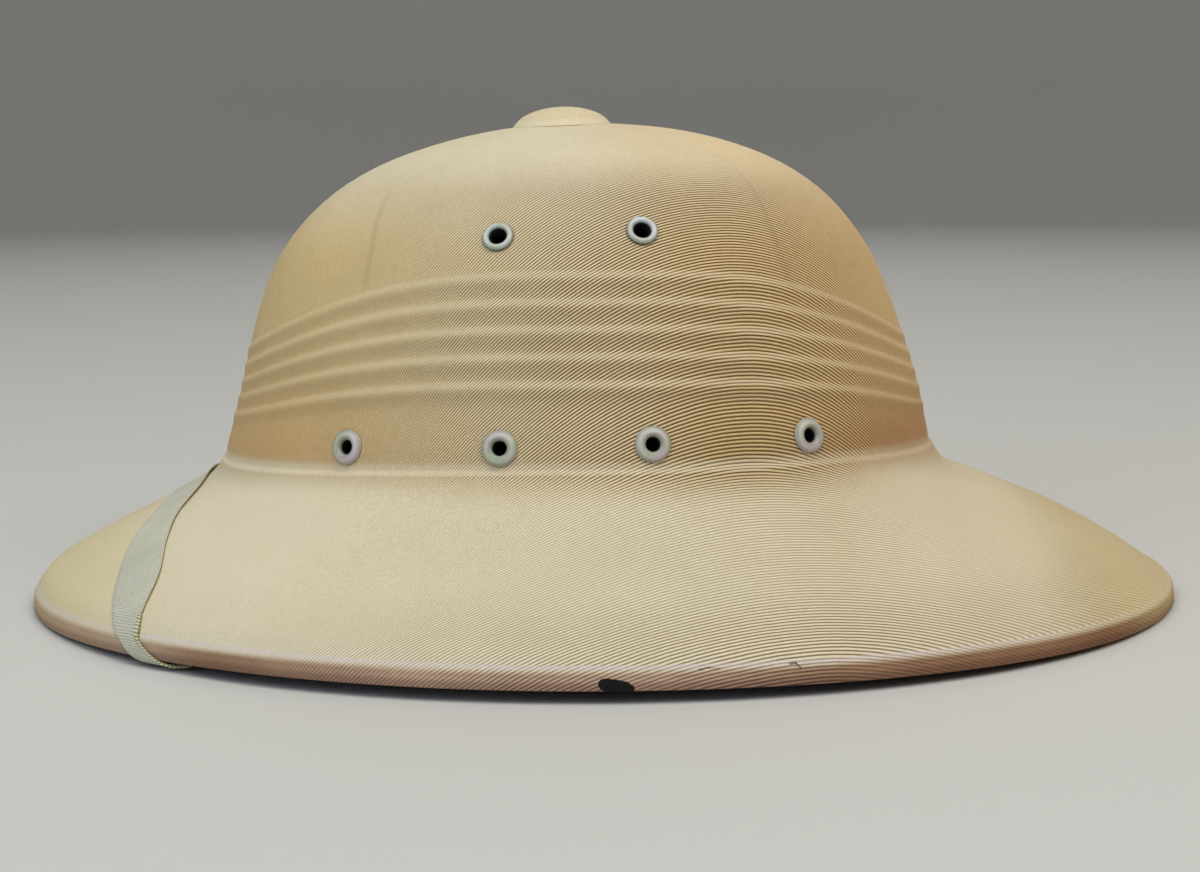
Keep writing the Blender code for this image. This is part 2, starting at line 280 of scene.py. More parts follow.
def close_up(piece, distance=1e-6):
    """Merges the points that lie on each other, and turns all faces outwards."""
    edit_all(piece)
    bpy.ops.mesh.remove_doubles(threshold=distance)
    bpy.ops.mesh.normals_make_consistent(inside=False)
    bpy.ops.object.mode_set(mode="OBJECT")


def shade(piece, *materials, angle=None):
    piece.data.materials.clear()
    for material in materials:
        piece.data.materials.append(material)
    pick(piece)
    if angle is None:
        bpy.ops.object.shade_smooth()
    else:
        bpy.ops.object.shade_smooth_by_angle(angle=math.radians(angle))
    return piece


def hand_over(piece, slot, *nodes):
    """The piece stands for its CAD nodes, which are hidden, and hangs under the root body. The
    slot is not used.
    """
    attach(piece, "root")
    if nodes:
        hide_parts(*nodes)


def clear_maps(mesh):
    while mesh.uv_layers:
        mesh.uv_layers.remove(mesh.uv_layers[0])


def wrap_grid(name, rows, maps, slots=None):
    """A grid primitive laid onto rows of points.

    `maps` holds a UV map for each name, and `slots` a material's number for each row.
    """
    rows = np.array(rows)
    count, across = rows.shape[:2]
    deselect()
    bpy.ops.mesh.primitive_grid_add(x_subdivisions=across - 1, y_subdivisions=count - 1, size=1)
    piece = name_piece(name)
    mesh = piece.data
    flat = np.zeros(len(mesh.vertices) * 3)
    mesh.vertices.foreach_get("co", flat)
    flat = flat.reshape(-1, 3)
    over = np.rint((flat[:, 0] + 0.5) * (across - 1)).astype(int)
    down = np.rint((0.5 - flat[:, 1]) * (count - 1)).astype(int)
    mesh.vertices.foreach_set("co", (rows[down, over] * MM).ravel())
    corner = np.zeros(len(mesh.loops), int)
    mesh.loops.foreach_get("vertex_index", corner)
    clear_maps(mesh)
    for label, values in maps.items():
        values = np.array(values)[down[corner], over[corner]]
        mesh.uv_layers.new(name=label).data.foreach_set("uv", values.ravel())
    if slots is not None:
        top_rows = down[corner].reshape(-1, 4).min(1)
        mesh.polygons.foreach_set("material_index", np.array(slots)[top_rows])
    mesh.update()
    return piece


def turned(name, profile, sides):
    """A ring of edges drawn down through (radius, height) points, as on a lathe."""
    deselect()
    start, *rest = profile
    bpy.ops.mesh.primitive_circle_add(
        vertices=sides, radius=start[0] * MM, location=(0, 0, start[1] * MM)
    )
    piece = name_piece(name)
    edit_all(set_in_place(piece))
    radius, height = start
    for next_radius, next_height in rest:
        extrude_ring((next_height - height) * MM, next_radius / radius)
        radius, height = next_radius, next_height
    bpy.ops.object.mode_set(mode="OBJECT")
    return piece


def map_points(piece, name, place_of):
    """Gives the piece one UV map, which holds a pair of values for each point."""
    mesh = piece.data
    clear_maps(mesh)
    layer = mesh.uv_layers.new(name=name)
    for loop in mesh.loops:
        layer.data[loop.index].uv = place_of(mesh.vertices[loop.vertex_index].co)


def stand_on(piece, point, normal):
    """Turns the piece's Z to the normal and moves it to the point, in its mesh."""
    turn = Vector(normal).to_track_quat("Z", "Y").to_matrix().to_4x4()
    piece.matrix_world = Matrix.Translation(Vector(point) * MM) @ turn
    bpy.context.view_layer.update()
    return set_in_place(piece)


# ---------------------------------------------------------------- materials


def maths(operation):
    """The method that adds one kind of maths node."""

    def add_node(first, *others):
        return first.recipe.node("ShaderNodeMath", {"operation": operation}, first, *others)

    return add_node


class Amount:
    """A value, place or colour that varies over a surface. Maths on it adds shader nodes."""

    __add__ = __radd__ = maths("ADD")
    __sub__ = maths("SUBTRACT")
    __mul__ = __rmul__ = maths("MULTIPLY")
    __truediv__ = maths("DIVIDE")
    __pow__ = maths("POWER")
    __abs__ = maths("ABSOLUTE")
    sine = maths("SINE")

    def __init__(self, recipe, socket):
        self.recipe = recipe
        self.socket = socket

    def __rsub__(self, other):
        return self.recipe.node("ShaderNodeMath", {"operation": "SUBTRACT"}, other, self)

    def wave(self):
        """Sine of a number of turns."""
        return (self * (2 * math.pi)).sine()

    def step(self, none, full):
        """0 at `none`, which may be the higher one, 1 at `full`, and smooth between them."""
        settings = {"interpolation_type": "SMOOTHSTEP"}
        return self.recipe.node("ShaderNodeMapRange", settings, self, none, full, 0.0, 1.0)

    def band(self, centre, half, soft):
        """1 within half of the centre, falling to 0 over soft beyond it."""
        return abs(self - centre).step(half + soft, half)

    def limit(self):
        return self.recipe.node("ShaderNodeClamp", {}, self, 0.0, 1.0)

    def parts(self):
        return [
            self.recipe.node("ShaderNodeSeparateXYZ", {}, self, output=axis) for axis in "XYZ"
        ]

    def noise(self, scale, detail=2.0, roughness=0.5):
        """Cloudy values about 0, mostly from -0.5 to 0.5."""
        values = {"Vector": self, "Scale": scale, "Detail": detail, "Roughness": roughness}
        return (self.recipe.node("ShaderNodeTexNoise", {}, **values) - 0.5) * 2.0

    def blend(self, first, second, way="MIX"):
        """The first colour where this is 0, and the second where it is 1."""
        settings = {"data_type": "RGBA", "blend_type": way, "clamp_factor": True}
        mix = self.recipe.node("ShaderNodeMix", settings, self, output=2)
        for index, colour in ((6, first), (7, second)):
            value = colour if isinstance(colour, Amount) else (*colour, 1)
            self.recipe.plug(mix.socket.node.inputs[index], value)
        return mix


class Recipe:
    """A material that is put together from nodes and ends in one Principled shader."""

    def __init__(self, name, **constants):
        self.material = bpy.data.materials.new(name)
        self.material.use_nodes = True
        self.tree = self.material.node_tree
        self.shader = self.tree.nodes["Principled BSDF"]
        for label, value in constants.items():
            self.feed(label.replace("_", " ").title(), value)

    def node(self, kind, settings, *values, output=0, **named):
        """Adds a node with its settings, and its sockets in order or by name."""
        node = self.tree.nodes.new(kind)
        for label, value in settings.items():
            setattr(node, label, value)
        for label, value in [*enumerate(values), *named.items()]:
            self.plug(node.inputs[label], value)
        return Amount(self, node.outputs[output])

    def plug(self, socket, value):
        if isinstance(value, Amount):
            self.tree.links.new(value.socket, socket)
        else:
            socket.default_value = value

    def feed(self, label, value):
        self.plug(self.shader.inputs[label], value)

    def place(self):
        return self.node("ShaderNodeTexCoord", {}, output="Object")

    def map(self, name):
        return self.node("ShaderNodeUVMap", {"uv_map": name})

    def mottle(self, scale, contrast, detail=2.0):
        """Cloudy values from 0 to 1."""
        return (0.5 + self.place().noise(scale, detail) * contrast).limit()

    def bump(self, height, distance, strength):
        values = {"Strength": strength, "Distance": distance, "Height": height}
        self.feed("Normal", self.node("ShaderNodeBump", {}, **values))


# Threads of the cloth, darkest and lightest.
BUTTON_THREADS = ((0.63, 0.525, 0.33), (0.77, 0.66, 0.435))
WALL_THREADS = ((0.69, 0.57, 0.34), (0.83, 0.70, 0.445))
TOP_THREADS = ((0.63, 0.545, 0.375), (0.745, 0.66, 0.475))
BRIM_THREADS = ((0.72, 0.635, 0.455), (0.82, 0.745, 0.55))

# Painted shade in the gaps between wales, also laid along the crown's creases.
GAP_SHADE = (0.145, 0.074, 0.028)
RUBBED_BUTTON = (0.86, 0.79, 0.62)
# Painted highlight on the ribs and the bead, and painted shade in the hollows and under the bead.
RIB_HIGHLIGHT = (0.84, 0.76, 0.56)
HOLLOW_SHADE = (0.34, 0.25, 0.14)
# Wear along the rim's top edge, with a painted highlight.
WORN_EDGE_AND_HIGHLIGHT = (0.64, 0.55, 0.58)

# Tints of the walls. Columns: region, heights between which it comes in (None: all), tint. The
# tints that come in low down are painted shade near the crown's foot.
FRONT_TINTS = (
    ("front", None, (0.90, 0.80, 0.62)),
    ("front", (0.080, 0.050), (0.99, 0.88, 0.82)),
)
BACK_TINTS = (
    ("behind", None, (0.97, 0.86, 0.71)),
    ("back", None, (1.08, 1.04, 0.99)),
    ("behind", (0.080, 0.055), (0.87, 0.87, 0.82)),
    ("back", (0.068, 0.050), (0.87, 0.69, 0.67)),
)

# Tints of the brim. Columns: X where it starts, X where it is full, tint.
BRIM_TINTS = (
    (0.020, 0.080, (0.94, 0.93, 0.89)),
    (0.065, 0.100, (0.82, 0.765, 0.65)),
    (0.122, 0.150, (1.08, 1.08, 1.04)),
    (-0.110, -0.150, (0.92, 0.875, 0.74)),
)
PALE_PATCH = (0.100, 0.010, 0.030)  # X of its middle, half its width, and how far it fades
PALE_PATCH_TONE = (0.93, 0.89, 0.74)

# Faint folds in the crown. Columns: degrees, the height in mm where it runs straight down, its
# bend for each square mm off that height, how strong it is on top, and how much more below.
CREASES = (
    (50.5, 92.0, -0.011, 0.0, 1.0),
    (130.4, 95.0, 0.005, 0.35, 0.5),
)
CREASE_HALF = 0.1  # degrees
CREASE_SOFT = 1.1

# Dirt on the rim's face, with painted shade: the face is darker overall, and darkest towards its
# bottom.
MIDDLE_RIM_SOIL_AND_SHADE = (0.82, 0.66, 0.65)
FAR_RIM_SOIL_AND_SHADE = (0.47, 0.29, 0.22)
TIP_RIM_SOIL_AND_SHADE = (0.84, 0.76, 0.66)
FRONT_RIM_SOIL_AND_SHADE = (0.80, 0.68, 0.66)
LOW_RIM_SHADE = (0.70, 0.64, 0.66)
CLOUDY_SOIL = (0.85, 0.80, 0.78)

# The blot on the rim's face: X and Z of its middle, half its length and height, and its lean.
BLOT = (0.0026, 0.0046, 0.0043, 0.0018, 0.16)
BLOT_BLACK = (0.004, 0.004, 0.004)

# Scuffs on the rim's edge. Columns: X, half the length, row, lean in rows a metre, darkness.
SCUFFS = (
    (0.0239, 0.0012, 2.090, 22.0, 0.85),
    (0.0264, 0.0012, 2.085, -12.0, 0.35),
    (0.0455, 0.0008, 2.060, 6.0, 0.75),
    (0.0468, 0.0006, 2.110, -90.0, 0.85),
)
SCUFF_BROWN = (0.05, 0.025, 0.03)


class Weave:
    """The twill's wales and yarn, on the cloth's own map."""

    def __init__(self, recipe):
        along, down, _ = recipe.map("cloth").parts()
        place = recipe.place()
        sway = place.noise(45.0) * 0.30 + place.noise(300.0) * 0.10
        turns = along * WALES_ALONG + down * WALES_DOWN + sway
        self.ridge = turns.wave() * 0.5 + 0.5
        self.gap = 1 - self.ridge.step(0.10, 0.70)
        drawn_out = along * 0.35 - down * 0.15, turns * 0.0009
        stretched = recipe.node("ShaderNodeCombineXYZ", {}, *drawn_out)
        self.yarn = stretched.noise(1100.0)
        self.heather = place.noise(900.0, 3.0, 0.7)
        self.cloud = place.noise(38.0, 3.0)
        mixed = self.cloud * 0.40 + self.heather * 0.80 + self.yarn * 0.40
        self.tone = (0.5 + mixed).limit()
        self.fuzz = self.yarn * 0.08 + self.heather * 0.10


class Spot:
    """Where a point of the shell lies.

    Rows run down the helmet: 0 is the crown's top, 1 its foot, 2 the rim's upper edge and 2.72
    where the rim turns under.
    """

    def __init__(self, recipe):
        self.place = recipe.place()
        self.x, self.y, self.z = self.place.parts()
        self.turn, self.row, _ = recipe.map("place").parts()
        self.rib, _, _ = recipe.map("rib").parts()
        self.topside = self.z.step(0.100, 0.130)
        self.plain_top = self.z.step(0.118, 0.132)
        self.rim_face = self.row.step(2.04, 2.24)
        frontward = (self.turn + 0.25).wave()
        self.regions = {
            "front": frontward.step(0.10, 0.85),
            "behind": frontward.step(0.0, -0.45) * (1 - self.topside * 0.5),
            "back": frontward.step(-0.50, -0.90),
        }
        self.ends = self.regions["front"] + self.regions["back"]


def twill_recipe(name):
    recipe = Recipe(name, roughness=0.92, sheen_weight=0.05, sheen_roughness=0.6)
    recipe.feed("Specular IOR Level", 0.25)
    return recipe


def button_twill(name):
    """The same twill over the button, finer to the eye and rubbed pale round the cap's edge."""
    recipe = twill_recipe(name)
    weave = Weave(recipe)
    x, y, _ = recipe.place().parts()
    from_shank = ((x - BUTTON_X * MM) ** 2 + y * y) ** 0.5
    rubbed = from_shank.step(0.0122, 0.0142)
    colour = weave.tone.blend(*BUTTON_THREADS)
    colour = (rubbed * 0.35).blend(colour, RUBBED_BUTTON)
    # Painted shade in the gaps between the wales.
    recipe.feed("Base Color", (weave.gap * 0.04).blend(colour, GAP_SHADE))
    recipe.bump(weave.ridge * 0.05 + weave.fuzz, 0.0002, 0.5)
    return recipe.material


def bleaching_and_bead_highlight(spot):
    """How far the sun has bleached the cloth all over the brim; the half on the bead is a painted
    highlight.
    """
    sides = spot.row.step(0.93, 1.20)
    ends = spot.row.step(0.94, 1.08)
    # Painted highlight along the bead's crest.
    bead_highlight = spot.row.band(0.990, 0.008, 0.022) * (0.5 - spot.regions["back"] * 0.25)
    return (sides + (ends - sides) * spot.ends + bead_highlight).limit()


def tinted(spot, colour, tints):
    for region, heights, tint in tints:
        share = spot.regions[region]
        if heights:
            share = share * spot.z.step(*heights)
        colour = share.blend(colour, tint, "MULTIPLY")
    return colour


def wall_colour(spot, tone):
    """Tan, greyer on top, and browner low down at both ends, where the brown is painted shade."""
    colour = tinted(spot, tone.blend(*WALL_THREADS), FRONT_TINTS)
    colour = spot.topside.blend(colour, tone.blend(*TOP_THREADS))
    return tinted(spot, colour, BACK_TINTS)


def brim_colour(spot, tone):
    """Pale straw, yellower towards both ends."""
    colour = tone.blend(*BRIM_THREADS)
    for begin, full, tint in BRIM_TINTS:
        colour = spot.x.step(begin, full).blend(colour, tint, "MULTIPLY")
    return (spot.x.band(*PALE_PATCH) * 0.35).blend(colour, PALE_PATCH_TONE)


def gap_shade(spot, weave, bleached_and_lit):
    """Painted shade in the gaps between wales, darkest where the wales run level with the ground.
    """
    level = (spot.turn * 2.0 - 0.376).wave() * 0.5 + 0.5
    faint = 0.55 - spot.row.step(1.6, 1.9) * 0.25 + spot.x.step(0.05, 0.12) * 0.22
    on_cloth = (0.12 + level * 1.10) * (1 - bleached_and_lit * faint)
    on_top = (1 - spot.topside * 0.30) * (1 - spot.plain_top)
    hidden = 0.05 + spot.x.step(0.02, 0.08) * 0.45 - weave.cloud * 0.6
    return (weave.gap * on_cloth * on_top * (1 - spot.rim_face * hidden)).limit()


def paint_rib_light_and_shade(spot, colour):
    """Painted highlight on the ribs and the bead, and painted shade in the hollows between the
    ribs and under the bead.
    """
    colour = (spot.rib.step(0.45, 1.0) * 0.20).blend(colour, RIB_HIGHLIGHT)
    # Painted shade in the hollows, stronger at both ends.
    hollow = spot.rib.step(0.4, 0.0)
    return (hollow * (0.09 + spot.ends * 0.09)).blend(colour, HOLLOW_SHADE)


def crown_creases(spot):
    """How deep the faint folds are that are pressed into the crown; this also sets the painted
    shade along them.
    """
    height = spot.z / MM
    degrees = spot.turn * 360.0
    lower_down = height.step(128.0, 112.0)
    crease = 0
    for at, straight, bend, strength, more in CREASES:
        off = height - straight
        line = degrees.band(off * off * bend + at, CREASE_HALF, CREASE_SOFT)
        crease = crease + line * (strength + lower_down * more)
    return crease * height.step(90.0, 97.0) * height.step(134.0, 128.0)


def soil_and_shade_rim(spot, weave, colour):
    """The rim: a pinkish-white upper edge, worn and with a painted highlight, over a face that is
    brown from dirt and painted shade.
    """
    x, row = spot.x, spot.row
    soil_and_shade = abs(x + 0.012).step(0.015, 0.105).blend(MIDDLE_RIM_SOIL_AND_SHADE, FAR_RIM_SOIL_AND_SHADE)
    soil_and_shade = abs(x).step(0.130, 0.160).blend(soil_and_shade, TIP_RIM_SOIL_AND_SHADE)
    soil_and_shade = x.step(-0.095, -0.130).blend(soil_and_shade, FRONT_RIM_SOIL_AND_SHADE)
    # Painted shade, darker towards the bottom of the face.
    soil_and_shade = row.step(2.30, 2.72).blend(soil_and_shade, LOW_RIM_SHADE, "MULTIPLY")
    soil_and_shade = (0.5 + weave.cloud * 0.9).limit().blend(soil_and_shade, CLOUDY_SOIL, "MULTIPLY")
    colour = spot.rim_face.blend(colour, soil_and_shade, "MULTIPLY")
    # Wear along the rim's upper edge, with a painted highlight.
    edge = row.step(1.976, 1.992) * row.step(2.15, 2.04)
    rubbed = (0.75 + weave.heather * 0.8).limit() * (1 - x.step(0.06, 0.13) * 0.6)
    return (edge * rubbed * 0.58).blend(colour, WORN_EDGE_AND_HIGHLIGHT)


def mark_rim(spot, colour):
    """A black blot with a ragged outline, and short scuffs, on the near side of the rim."""
    x, z = spot.x, spot.z
    near = spot.y.step(-0.10, -0.11)
    ragged = spot.place.noise(900.0, 2.0) * 0.00035
    blot_x, blot_z, half_long, half_high, lean = BLOT
    across = ((x - blot_x + ragged) / half_long) ** 2
    up = ((z - blot_z + (x - blot_x) * lean + ragged) / half_high) ** 2
    blot = (across * across + up).step(1.06, 0.94)
    colour = (blot * near * spot.rim_face).blend(colour, BLOT_BLACK)
    for scuff_x, half_long, at, lean, dark in SCUFFS:
        off_line = spot.row - at + (x - scuff_x) * lean + ragged * 120.0
        scuff = off_line.band(0.0, 0.010, 0.03)
        scuff = scuff * (x + ragged).band(scuff_x, half_long, 0.0003)
        colour = (scuff * near * dark).blend(colour, SCUFF_BROWN)
    return colour


def shell_twill(name):
    """Khaki cotton twill, sun-bleached on top and on the brim, brown and worn along the rim."""
    recipe = twill_recipe(name)
    weave = Weave(recipe)
    spot = Spot(recipe)
    bleached_and_lit = bleaching_and_bead_highlight(spot)
    crease = crown_creases(spot)
    wall = wall_colour(spot, weave.tone)
    colour = bleached_and_lit.blend(wall, brim_colour(spot, weave.tone))
    # Painted shade in the gaps between the wales.
    colour = gap_shade(spot, weave, bleached_and_lit).blend(colour, GAP_SHADE)
    colour = paint_rib_light_and_shade(spot, colour)
    # Painted shade along the creases.
    colour = (crease * 0.14).blend(colour, GAP_SHADE)
    colour = soil_and_shade_rim(spot, weave, colour)
    recipe.feed("Base Color", mark_rim(spot, colour))
    relief = weave.ridge * 0.5 * (1 - spot.topside * 0.4) * (1 - spot.plain_top * 0.9)
    relief = relief * (1 - bleached_and_lit * 0.3)
    recipe.bump(relief + weave.fuzz - crease * 0.5, 0.00035, 0.8)
    return recipe.material


def pressed_fibre(name):
    """The shell's plain inner face."""
    recipe = Recipe(name, roughness=0.9)
    place = recipe.place()
    grain = place.noise(260.0, 4.0, 0.65)
    cloud = place.noise(30.0, 2.0)
    tone = (0.5 + grain * 0.6 + cloud * 0.4).limit()
    recipe.feed("Base Color", tone.blend((0.40, 0.31, 0.19), (0.52, 0.43, 0.28)))
    recipe.bump(grain, 0.0004, 0.6)
    return recipe.material


def eyelet_paint(name, first, second, crest, tube_shade_depth):
    """Pale paint of two tints, a little worn and grimy, with a painted highlight on the crest,
    painted shade off it, and near-black painted shade down the tube and under the flange.
    """
    recipe = Recipe(name, roughness=0.42, coat_weight=0.15, coat_roughness=0.3)
    radius, height, _ = recipe.map("ring").parts()
    place = recipe.place()
    cloud = place.noise(260.0, 3.0)
    speck = place.noise(1500.0, 2.0)
    tint = recipe.mottle(130.0, 1.6, 1.0)
    paint = tint.blend(first, second)
    paint = (0.5 + cloud * 0.8).limit().blend(paint, (0.90, 0.90, 0.88), "MULTIPLY")
    # Painted shade everywhere but the crest, which stays lighter as a painted highlight.
    off_crest_shade = 1 - radius.band(crest, 0.0002, 0.0007)
    paint = off_crest_shade.blend(paint, (0.70, 0.72, 0.68), "MULTIPLY")
    grime = (speck + cloud * 0.6).step(0.42, 0.75)
    paint = (grime * 0.45).blend(paint, (0.16, 0.12, 0.07))
    # Painted shade: the tube and the flange's underside are near black.
    tube = 1 - height.step(tube_shade_depth - 0.0006, tube_shade_depth)
    recipe.feed("Base Color", tube.blend(paint, (0.012, 0.010, 0.008)))
    recipe.feed("Roughness", 0.42 + grime * 0.25 + tube * 0.3)
    recipe.bump(cloud * 0.6 + speck * 0.4, 0.00006, 0.5)
    return recipe.material


def tape_rib(along):
    return (along * TAPE_RIBS).wave() * 0.5 + 0.5


def woven_tape(name):
    """Pale grey-green tape with a fine rib across it, which shows most round the rim."""
    recipe = Recipe(name, roughness=0.85, sheen_weight=0.2, sheen_roughness=0.5)
    along, across, _ = recipe.map("tape").parts()
    place = recipe.place()
    rib = tape_rib(along + place.noise(120.0) * 0.0002)
    warp = (across * 1500.0 + place.noise(500.0) * 0.2).wave() * 0.5 + 0.5
    cloud = place.noise(90.0, 3.0)
    fuzz = place.noise(1400.0, 2.0)
    worn = abs(along).step(0.030, 0.085)
    ribbed = rib * (0.35 + worn * 0.65)
    tone = (0.35 + cloud * 0.35 + fuzz * 0.4 + ribbed * 0.35).limit()
    colour = tone.blend((0.44, 0.43, 0.33), (0.69, 0.675, 0.555))
    # Darker along both edges: partly the tape's edge colour, partly painted shade.
    edge = abs(across).step(0.0053, 0.0062)
    colour = (edge * 0.2).blend(colour, (0.36, 0.30, 0.17))
    recipe.feed("Base Color", colour)
    recipe.bump(ribbed * 0.8 + warp * 0.15 + fuzz * 0.15, 0.0003, 0.9)
    return recipe.material


def tape_edge(name):
    """The tape's thin side: brown, partly its own colour and partly painted shade."""
    recipe = Recipe(name, roughness=0.9)
    tone = recipe.mottle(600.0, 0.8)
    recipe.feed("Base Color", tone.blend((0.20, 0.12, 0.05), (0.36, 0.25, 0.12)))
    recipe.bump(tone, 0.0002, 0.6)
    return recipe.material


def tape_fold(name):
    """The tape's folded edge: pale ribs, which are painted highlights, over a yellow-green ground
    of painted shade.
    """
    recipe = Recipe(name, roughness=0.85)
    along, round_way, _ = recipe.map("tape").parts()
    rib = tape_rib(along)
    tone = recipe.mottle(600.0, 0.8)
    # Painted shade between the ribs, and painted highlights on their crests.
    ground = tone.blend((0.24, 0.24, 0.07), (0.38, 0.39, 0.15))
    rib_highlight = tone.blend((0.66, 0.66, 0.55), (0.80, 0.80, 0.72))
    # The ribs stop short on the outer side.
    lit = rib.step(0.35, 0.75) * (1 - round_way.step(0.38, 0.46))
    recipe.feed("Base Color", lit.blend(ground, rib_highlight))
    recipe.bump(rib, 0.0003, 0.8)
    return recipe.material


def dull_brass(name):
    recipe = Recipe(name, metallic=1.0)
    cloud = recipe.mottle(400.0, 0.8, 3.0)
    recipe.feed("Base Color", cloud.blend((0.33, 0.24, 0.11), (0.50, 0.39, 0.20)))
    recipe.feed("Roughness", 0.35 + cloud * 0.2)
    recipe.bump(cloud, 0.00005, 0.4)
    return recipe.material


def pale_floor(name):
    recipe = Recipe(name, roughness=0.9)
    cloud = recipe.mottle(3.0, 0.3)
    recipe.feed("Base Color", cloud.blend((0.60, 0.595, 0.58), (0.62, 0.615, 0.60)))
    return recipe.material


# ---------------------------------------------------------------- shell

# How far a rib stands out, over one pitch from its upper foot.
RIB_SHAPE = through((0, 0.12, 0.26, 0.38, 0.55, 0.78, 1), (0, 0.22, 0.80, 1, 0.74, 0.22, 0))
RIB_SPREAD = 1.5  # how late a rib's full depth is reached, from the ends to the sides

# How light the cloth is over one pitch: painted highlight on the rib, painted shade in the
# hollow.
RIB_TONE = through(
    (0, 0.12, 0.22, 0.36, 0.52, 0.78, 1), (0.35, 0.9, 1.0, 0.6, 0.05, 0.05, 0.35)
)
PLAIN_TONE = 0.4
BEAD_PALE = 0.35  # how much lighter the bead is, as a painted highlight
BEAD_DARK = 0.25  # how much painted shade lies under the bead

# How far the bead stands out of the brim's own line, over the brim's reach.
BEAD_ROLL = through(
    (0, 0.008, 0.019, 0.036, 0.055, 0.078, 0.11, 0.15, 0.2, 0.25),
    (0.85, 0.62, 0.2, -0.25, -0.5, -0.6, -0.5, -0.3, -0.1, 0),
)
BEAD_STEP = through((0, 0.25, 0.9, 1.0), (0, 0.1, 0.95, 1.0))
BEAD_TOP = 0.85
# Painted shade under the bead, over the brim's reach.
BEAD_SHADE = through((0, 0.02, 0.05, 0.12, 1), (0, 0.4, 1, 0, 0))
BEAD_EDGE = 0.02  # the bead ends at this reach

# Steps from one row of points to the next.
DOME_STEPS = 25
RIB_STEPS = 16
WALL_STEPS = 9
BEAD_STEPS = 6
CORNER_STEPS = 8
LIP_STEPS = 10
BRIM_ROWS = (
    0.004, 0.009, 0.014, 0.02, 0.03, 0.042, 0.055, 0.067, 0.08,
    *np.linspace(0.1, 0.9, 28), 0.925, 0.95, 0.965, RIM_ROUND[0],
)  # fmt: skip
RIM_ROWS = (0.42, 0.54, 0.65)
INNER_BRIM_ROWS = (*np.linspace(0.93, 0.12, 20), 0.07, 0.03)
INNER_DOME_STEPS = 39

# Rows of the shell's map: where the rim turns under, where that ends, and the inner face.
LIP_PLACES = (2.72, 3.22)
INNER_PLACES = (4.0, 5.0, 6.0)  # at the rim, at the crown's foot and at its top
SURFACE_STEP = 0.01

# How the flat cloth is drawn over the shell, so that its wales run as in the real one.
CLOTH_ALONG = (1.07, 0.229)  # at the crown's top, and how much less on each row below
BACK_FROM = 0.3  # backward share from which the cloth on the brim is drawn askew
BACK_ALONG = 1.126
BACK_DOWN = -0.356


def rib_height(down, angle):
    """Height at `down` pitches below the first rib's line."""
    first = int(np.clip(math.floor(down), 0, len(RIBS) - 2))
    upper, lower = (round_line(*rib, RIB_BENDS, angle) for rib in RIBS[first : first + 2])
    return upper + (lower - upper) * (down - first)


def outer_rows(angle):
    """Rows of the outer face from the crown's top to the rim's bottom, and the way outwards.

    Each row holds its points, its place down the helmet and the painted light and shade of its
    cloth.
    """
    rows = []
    flat = 0 * angle
    foot = brim_height(angle, 0)
    crown_height = CROWN_TOP - foot

    def add_crown(height, proud, tone=PLAIN_TONE):
        place = 1 - (height - foot) / crown_height
        rows.append((crown_point(angle, height, proud), place, flat + tone))

    start = rib_height(RIB_TOP, angle)
    for share in np.arange(DOME_STEPS) / DOME_STEPS:
        height = CROWN_TOP - (CROWN_TOP - start) * share**2
        add_crown(height, -RIB_SEAT * smooth_step(share * 4 - 3))
    sides = np.abs(sine(angle)) ** RIB_SPREAD
    depth = RIB_DEPTH_ENDS + (RIB_DEPTH_SIDE - RIB_DEPTH_ENDS) * sides
    for i in range(len(RIBS) * RIB_STEPS + 1):
        height = rib_height(RIB_TOP + i / RIB_STEPS, angle)
        share = i % RIB_STEPS / RIB_STEPS
        add_crown(height, RIB_SHAPE(share) * depth - RIB_SEAT, RIB_TONE(share))
    low = rib_height(RIB_END, angle)
    bead = foot + BEAD_ABOVE
    for share in np.arange(1, WALL_STEPS) / WALL_STEPS:
        add_crown(low + (bead - low) * share, -RIB_SEAT * (1 - smooth_step(share * 2)))
    for share in np.arange(BEAD_STEPS + 1) / BEAD_STEPS:
        tone = PLAIN_TONE + BEAD_PALE * share
        add_crown(bead - BEAD_ABOVE * share, BEAD_TOP * BEAD_STEP(share), tone)
    outward = rim_point(angle, 0.0) - crown_point(angle, foot)
    outward[..., 2] = 0
    outward = unit(outward)

    def add_brim(point, place, tone=PLAIN_TONE):
        rows.append((point, place + flat, flat + tone))

    for reach in BRIM_ROWS:
        # The bead's painted highlight, and the painted shade under it.
        pale = BEAD_PALE * smooth_step(1 - reach / BEAD_EDGE)
        tone = PLAIN_TONE + pale - BEAD_DARK * BEAD_SHADE(reach)
        add_brim(brim_point(angle, reach) + outward * BEAD_ROLL(reach), 1 + reach, tone)
    round_from, round_to = RIM_ROUND
    begin, end = brim_point(angle, round_from), rim_face(angle, round_to)
    corner = rim_face(angle, 0) + outward * RIM_PROUD
    for t in np.arange(1, CORNER_STEPS + 1) / CORNER_STEPS:
        point = begin * (1 - t) ** 2 + corner * 2 * t * (1 - t) + end * t * t
        add_brim(point, 1 + round_from + (1 - round_from + round_to) * t)
    for down in RIM_ROWS:
        add_brim(rim_face(angle, down), 2 + down)
    return rows, outward


def lip_rows(angle, outward):
    """Rows that turn under the rim's bottom edge, from its outer to its inner face."""
    rows = []
    flat = 0 * angle
    bottom = rim_face(angle, 1.0)
    first, last = LIP_PLACES
    for share in np.arange(LIP_STEPS + 1) / LIP_STEPS:
        over = cosine(share * 180)
        out = WALL / 2 * (np.sign(over) * abs(over) ** LIP_SQUARE - 1)
        up = 1 - sine(share * 180) ** LIP_SQUARE
        point = bottom + outward * out
        point[..., 2] += LIP_ROUND * (1 + np.maximum(cosine(angle), 0)) * up
        rows.append((point, first + (last - first) * share + flat, flat + PLAIN_TONE))
    return rows


